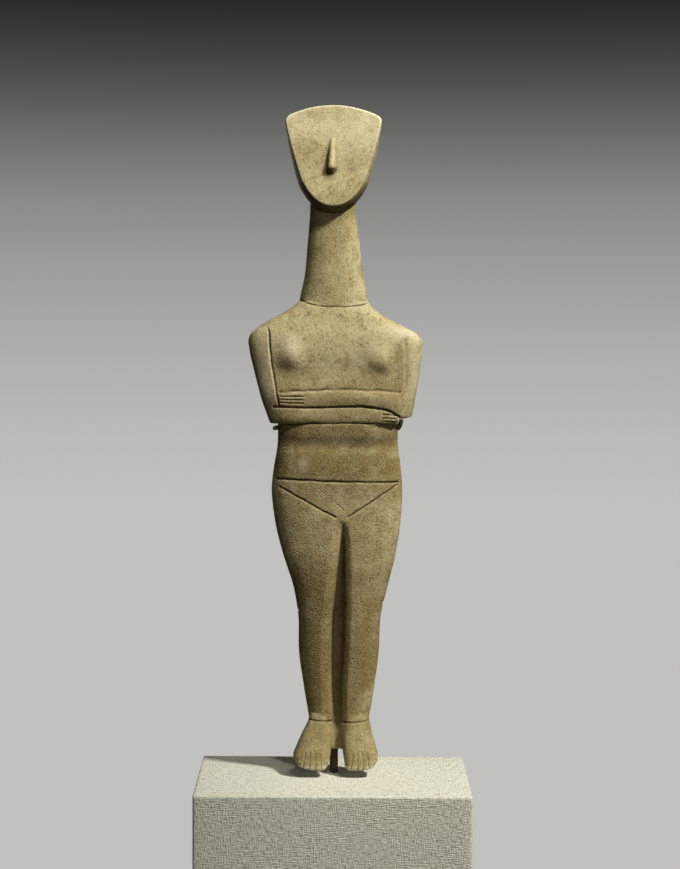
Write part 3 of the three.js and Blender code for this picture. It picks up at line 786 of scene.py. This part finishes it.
def linen_covering():
    """The covered block: cloth drawn tight over soft edges, with a fold line along the front."""
    bm = bmesh.new()
    bmesh.ops.create_cube(bm, size=1)
    bmesh.ops.scale(bm, verts=bm.verts, vec=(block_high - block_low) / MM)
    bmesh.ops.bevel(bm, geom=bm.edges[:] + bm.verts[:], offset=LINEN_EDGE["radius"],
                    offset_type="OFFSET", segments=LINEN_EDGE["segments"], profile=0.5,
                    affect="EDGES", material=-1)
    bmesh.ops.translate(bm, verts=bm.verts, vec=(block_low + block_high) / 2 / MM)
    # The cuts keep the smooth shading of the soft edges out of the middle of each face.
    for square_to in Matrix.Identity(3):
        for step in range(1, LINEN_EDGE["cuts"]):
            sliced(bm, (block_low + (block_high - block_low) * step / LINEN_EDGE["cuts"]) / MM, square_to)
    crease = block_low.y / MM + CREASE["behind"]
    for offset in (-CREASE["half"], 0, CREASE["half"]):
        sliced(bm, (0, crease + offset, 0), (0, 1, 0))
    for vertex in bm.verts:
        on_top = vertex.co.z > block_high.z / MM - 0.01
        if on_top and abs(vertex.co.y - crease) < 1e-3:
            vertex.co.z -= CREASE["depth"]
    bmesh.ops.recalc_face_normals(bm, faces=bm.faces)
    bmesh.ops.scale(bm, verts=bm.verts, vec=(MM, MM, MM))
    uv = bm.loops.layers.uv.new("cloth")
    for face in bm.faces:
        face.smooth = True
        lean = [abs(value) for value in face.normal]
        across, up = [(1, 2), (0, 2), (0, 1)][lean.index(max(lean))]
        for loop in face.loops:
            loop[uv].uv = (loop.vert.co[across], loop.vert.co[up])
    return object_of("linen_covering", bm)


# ---------------------------------------------------------------- materials

def linear(hex_colour):
    """An sRGB hex colour as linear light with full opacity."""
    parts = [int(hex_colour[start:start + 2], 16) / 255 for start in (0, 2, 4)]
    return [p / 12.92 if p <= 0.04045 else ((p + 0.055) / 1.055) ** 2.4 for p in parts] + [1]


def add(tree, kind, inputs=(), **settings):
    """Adds a node with its settings; each input is a value, or another node's output to link."""
    made = tree.nodes.new(kind)
    for name, value in settings.items():
        setattr(made, name, value)
    for name, value in dict(inputs).items():
        if isinstance(value, bpy.types.NodeSocket):
            tree.links.new(value, made.inputs[name])
        else:
            made.inputs[name].default_value = value
    return made


def per(millimetres):
    """The scale that makes a pattern's cell this many millimetres wide."""
    return 1 / (millimetres * MM)


def started(name):
    """A new material's node tree with its shader, and the material itself."""
    material = bpy.data.materials.new(name)
    material.use_nodes = True
    tree = material.node_tree
    tree.nodes.clear()
    shader = add(tree, "ShaderNodeBsdfPrincipled")
    add(tree, "ShaderNodeOutputMaterial", {"Surface": shader.outputs["BSDF"]})
    return material, tree, shader


def stained(tree, patterns, base, stains):
    """The base colour under its stains, each covering most where its pattern is complete."""
    colour = linear(base)
    for name, begins, complete, most, stain in stains:
        cover = add(tree, "ShaderNodeMapRange", {
            "Value": patterns[name], "From Min": begins, "From Max": complete, "To Max": most})
        laid = add(tree, "ShaderNodeMix", {0: cover.outputs["Result"], 6: colour, 7: linear(stain)},
                   data_type="RGBA")
        colour = laid.outputs[2]
    return colour


# Patterns in the stone: the size of their cells in millimetres, their detail and their roughness.
STONE_PATTERNS = {
    "patches": (38, 4, 0.6),
    "clouds": (9, 4, 0.65),
    "grain": (1.7, 3, 0.75),
    "specks": (3.2, 3, 0.7),
}
# The tints over the clean stone, first to last: the pattern, where along it the tint begins and
# where it is complete, how much it then covers, and its colour.
STONE_TINTS = [
    # Brown tone by height, with painted shade at the waist and under the jaw.
    ("brown_tone_and_shade", 0, 1, 1, "705c2c"),
    ("patches", 0.48, 0.66, 0.55, "7a6635"),
    ("patches", 0.5, 0.34, 0.45, "b7ab80"),
    ("clouds", 0.48, 0.68, 0.6, "6f5a2d"),
    ("grain", 0.55, 0.3, 0.35, "c6ba8c"),
    ("grain", 0.52, 0.72, 0.7, "675228"),
    ("specks", 0.58, 0.66, 0.6, "584425"),
    # Pale wear, with painted highlights on the crown, the feet's rims, the breasts and the arms' edges.
    ("worn", 0, 1, 1, "d3cbab"),
    # Painted shade in cuts, recesses, the leg cleft, under the jaw and in its spots.
    ("painted_shade", 0.08, 1, 0.88, "43331c"),
]


# Open pits among the grains: how far apart they are, where along that distance each is deepest
# and where it ends, and how high the grain rises against their depth.
PITS = {"apart": 2.4, "deepest": 0.06, "ends": 0.4, "grain": -1.2, "depth": 0.4}


def weathered_marble():
    """Island marble, long buried: coarse sugary grain worn dull, tan to olive-brown with brown
    specks and open pits; painted shade darkens its cuts and recesses, and painted highlights pale its proud
    edges."""
    material, tree, shader = started("weathered_marble")
    place = add(tree, "ShaderNodeTexCoord").outputs["Object"]
    patterns = {}
    for name, (size, detail, rough) in STONE_PATTERNS.items():
        cells = add(tree, "ShaderNodeTexNoise", {
            "Vector": place, "Scale": per(size), "Detail": detail, "Roughness": rough})
        patterns[name] = cells.outputs["Fac"]
    for name in ("brown_tone_and_shade", "worn", "painted_shade", "pitted"):
        patterns[name] = add(tree, "ShaderNodeAttribute", attribute_name=name).outputs["Fac"]
    colour = stained(tree, patterns, "a89b6f", STONE_TINTS)
    pits = add(tree, "ShaderNodeTexVoronoi", {"Vector": place, "Scale": per(PITS["apart"])})
    ground = add(tree, "ShaderNodeMapRange", {
        "Value": pits.outputs["Distance"], "From Min": PITS["deepest"], "From Max": PITS["ends"]})
    height = add(tree, "ShaderNodeMath",
                 {0: patterns["grain"], 1: PITS["grain"], 2: ground.outputs["Result"]},
                 operation="MULTIPLY_ADD")
    bump = add(tree, "ShaderNodeBump", {
        "Height": height.outputs[0], "Strength": patterns["pitted"], "Distance": PITS["depth"] * MM})
    tree.links.new(colour, shader.inputs["Base Color"])
    tree.links.new(bump.outputs["Normal"], shader.inputs["Normal"])
    shader.inputs["Roughness"].default_value = 0.8
    shader.inputs["IOR"].default_value = 1.49
    shader.inputs["Specular IOR Level"].default_value = 0.3
    return material


# The linen, in millimetres: a thread's width, how far it wanders sideways and over what length,
# a slub's thickness, and how high the cloth rises. Real threads are half as wide: these are
# drawn coarse enough to show. A slub is so much longer than it is thick.
THREAD = {"wide": 1.05, "wander": 2.6, "over": 9}
SLUB = {"thick": 0.95, "rise": 0.8, "drawn_out": 0.15}


def plain_linen():
    """Natural linen, plain woven and drawn tight: a fine check of threads with thicker slubs."""
    material, tree, shader = started("plain_linen")
    cloth = add(tree, "ShaderNodeUVMap", uv_map="cloth").outputs["UV"]
    parts = add(tree, "ShaderNodeSeparateXYZ", {"Vector": cloth})
    wobble = add(tree, "ShaderNodeTexNoise", {"Vector": cloth, "Scale": per(THREAD["over"]), "Detail": 3})
    waves, slubs = [], []
    for axis, stretch in (("X", (SLUB["drawn_out"], 1, 1)), ("Y", (1, SLUB["drawn_out"], 1))):
        place = {0: wobble.outputs["Fac"], 1: THREAD["wander"] * MM, 2: parts.outputs[axis]}
        shifted = add(tree, "ShaderNodeMath", place, operation="MULTIPLY_ADD")
        turns = add(tree, "ShaderNodeMath",
                    {0: shifted.outputs[0], 1: math.pi * per(THREAD["wide"])}, operation="MULTIPLY")
        waves.append(add(tree, "ShaderNodeMath", {0: turns.outputs[0]}, operation="SINE"))
        drawn = add(tree, "ShaderNodeMapping", {"Vector": cloth, "Scale": stretch})
        slubs.append(add(tree, "ShaderNodeTexNoise", {
            "Vector": drawn.outputs[0], "Scale": per(SLUB["thick"]), "Detail": 2}))
    check = add(tree, "ShaderNodeMath", {0: waves[0].outputs[0], 1: waves[1].outputs[0]},
                operation="MULTIPLY").outputs[0]
    slub = add(tree, "ShaderNodeMath", {0: slubs[0].outputs["Fac"], 1: slubs[1].outputs["Fac"]},
               operation="ADD").outputs[0]
    colour = stained(tree, {"check": check, "slub": slub}, "d3d0bc", [
        ("slub", 1.04, 1.24, 1, "e0dece"),
        ("check", 0.9, -0.9, 0.3, "7f7a58"),
        ("slub", 1, 0.76, 0.65, "757152"),
    ])
    bump = add(tree, "ShaderNodeBump", {"Height": slub, "Strength": 1, "Distance": SLUB["rise"] * MM})
    tree.links.new(colour, shader.inputs["Base Color"])
    tree.links.new(bump.outputs["Normal"], shader.inputs["Normal"])
    shader.inputs["Roughness"].default_value = 0.95
    shader.inputs["Specular IOR Level"].default_value = 0.2
    return material


# The brush's streaks in the mount's paint, in millimetres: how wide, and how high.
BRUSH = {"wide": 2, "rise": 0.1}


def painted_steel(name, paint, worn):
    """Mild steel bar, brush-painted by the mount maker: nearly matt, with faint brush streaks."""
    material, tree, shader = started(name)
    place = add(tree, "ShaderNodeTexCoord").outputs["Object"]
    strokes = add(tree, "ShaderNodeTexNoise", {
        "Vector": place, "Scale": per(BRUSH["wide"]), "Detail": 4})
    colour = stained(tree, {"strokes": strokes.outputs["Fac"]}, paint, [("strokes", 0.35, 0.65, 1, worn)])
    bump = add(tree, "ShaderNodeBump", {
        "Height": strokes.outputs["Fac"], "Strength": 0.3, "Distance": BRUSH["rise"] * MM})
    tree.links.new(colour, shader.inputs["Base Color"])
    tree.links.new(bump.outputs["Normal"], shader.inputs["Normal"])
    shader.inputs["Roughness"].default_value = 0.7
    shader.inputs["Specular IOR Level"].default_value = 0.2
    return material


def dress(made, material):
    made.data.materials.clear()
    made.data.materials.append(material)
    return made


# ---------------------------------------------------------------- the studio

# The glow's grey at each height up the wall, in metres, from the floor's edge to the dark top: a painted
# falloff of light.
PAPER_GLOW = [
    (0, "c3c3c1"),
    (0.24, "b8b8b6"),
    (0.5, "a5a5a3"),
    (0.77, "8b8b8a"),
    (1.03, "545452"),
    (1.3, "181816"),
]
# The paper's sweep, in metres: its radius all round, its height, and the bend from floor to wall.
SWEEP = {"radius": 3.6, "height": 3, "bend": 1.1}


def glowing_paper():
    """Paper that glows with painted light: pale on the floor and going dark up the wall as the light would
    leave it.
    It lights nothing, so the lamps alone shade the object."""
    material = bpy.data.materials.new("glowing_paper")
    material.use_nodes = True
    tree = material.node_tree
    tree.nodes.clear()
    place = add(tree, "ShaderNodeTexCoord").outputs["Object"]
    height = add(tree, "ShaderNodeSeparateXYZ", {"Vector": place}).outputs["Z"]
    share = add(tree, "ShaderNodeMapRange", {"Value": height, "From Max": PAPER_GLOW[-1][0]})
    ramp = add(tree, "ShaderNodeValToRGB", {"Fac": share.outputs["Result"]})
    ramp.color_ramp.interpolation = "B_SPLINE"
    stops = ramp.color_ramp.elements
    while len(stops) < len(PAPER_GLOW):
        stops.new(0.5)
    for stop, (at, grey) in zip(stops, PAPER_GLOW):
        stop.position = at / PAPER_GLOW[-1][0]
    for stop, (at, grey) in zip(stops, PAPER_GLOW):
        stop.color = linear(grey)
    glow = add(tree, "ShaderNodeEmission", {"Color": ramp.outputs["Color"]})
    add(tree, "ShaderNodeOutputMaterial", {"Surface": glow.outputs[0]})
    return material


def studio():
    """Paper swept up all round from the floor into a wall."""
    radius, height = SWEEP["radius"], SWEEP["height"]
    bm = bmesh.new()
    bmesh.ops.create_cone(bm, cap_ends=True, segments=96, radius1=radius, radius2=radius, depth=height)
    bmesh.ops.translate(bm, verts=bm.verts, vec=(0, 0, height / 2))
    lids = [face for face in bm.faces if all(vertex.co.z > 0.1 for vertex in face.verts)]
    bmesh.ops.delete(bm, geom=lids, context="FACES")
    rim = [edge for edge in bm.edges if all(abs(vertex.co.z) < 1e-6 for vertex in edge.verts)]
    bmesh.ops.bevel(bm, geom=rim, offset=SWEEP["bend"], offset_type="OFFSET", segments=16, profile=0.5,
                    affect="EDGES", material=-1)
    bmesh.ops.reverse_faces(bm, faces=bm.faces)
    for face in bm.faces:
        face.smooth = True
    paper = dress(object_of("studio_sweep", bm), glowing_paper())
    paper.visible_diffuse = False
    paper.visible_glossy = False


def lamp(name, stand, target, size, power, beam=None):
    """A lamp of its size in metres and power in watts, aimed at its target: a round soft box, or
    with a beam in degrees a spotlight that fades to its edge."""
    light = bpy.data.lights.new(name, "SPOT" if beam else "AREA")
    light.energy = power
    if beam:
        light.shadow_soft_size = size / 2
        light.spot_size = math.radians(beam)
        light.spot_blend = 1
    else:
        light.shape = "DISK"
        light.size = size
    made = bpy.data.objects.new(name, light)
    made.location = stand
    aim = Vector(target) - Vector(stand)
    made.rotation_euler = aim.to_track_quat("-Z", "Y").to_euler()
    bpy.context.collection.objects.link(made)


def lights():
    """A hard key from above on the right, spots that lift the head and the block, and soft fills."""
    middle, head, block = (0, 0, 0.45), (0, 0, 0.6), (0, 0, -0.03)
    key = (1.2, -0.85, 1.95)
    lamp("key_right", key, middle, size=0.2, power=60)
    lamp("head_spot", (0.3, -0.8, 1.75), head, size=0.15, power=44, beam=28)
    lamp("block_spot", key, block, size=0.15, power=98, beam=10)
    lamp("front_fill", (0.6, -2.2, 0.75), (0, 0, 0.1), size=0.9, power=6.8)
    lamp("back_fill", (-1.3, 2.4, 0.9), middle, size=1.4, power=16)
    world = bpy.data.worlds.new("dim_room")
    world.use_nodes = True
    room = world.node_tree.nodes["Background"]
    room.inputs["Color"].default_value = linear("9a9a9a")
    room.inputs["Strength"].default_value = 0.04
    bpy.context.scene.world = world
    bpy.context.scene.view_settings.view_transform = "Standard"


# The camera: where it stands and its lens, in millimetres, and how it is turned, in degrees.
CAMERA = {"stand": (1.5, -1910.9, 581.7), "lens": 84.4, "film": 36}
TURN = {"pitch": 4.59, "yaw": 0.1, "roll": 0.35}


def camera():
    """The long lens stands in front, level with her throat, and looks a little down."""
    pitch, yaw, roll = [math.radians(TURN[name]) for name in ("pitch", "yaw", "roll")]
    ahead = Vector((math.sin(yaw) * math.cos(pitch), math.cos(yaw) * math.cos(pitch), -math.sin(pitch)))
    level = Vector((math.cos(yaw), -math.sin(yaw), 0))
    up = level.cross(ahead)
    right = level * math.cos(roll) + up * math.sin(roll)
    up = up * math.cos(roll) - level * math.sin(roll)
    lens = bpy.data.cameras.new("long_lens")
    lens.lens = CAMERA["lens"]
    lens.sensor_width = CAMERA["film"]
    lens.clip_start = 0.1
    lens.clip_end = 30
    made = bpy.data.objects.new("long_lens", lens)
    made.matrix_world = Matrix((right, up, -ahead)).transposed().to_4x4()
    made.location = Vector(CAMERA["stand"]) * MM
    bpy.context.collection.objects.link(made)
    bpy.context.scene.camera = made


# ---------------------------------------------------------------- the scene

camera()
studio()
lights()

woman = dress(figurine(), weathered_marble())
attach(woman, "root")
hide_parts("figurine")

cloth = dress(linen_covering(), plain_linen())
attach(cloth, "root")
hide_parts("linen_block")

dress(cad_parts["support_rod"], painted_steel("dark_painted_steel", "2e261b", "4a3e2b"))
dress(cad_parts["elbow_cradle"], painted_steel("stone_toned_steel", "756a48", "9a8d64"))
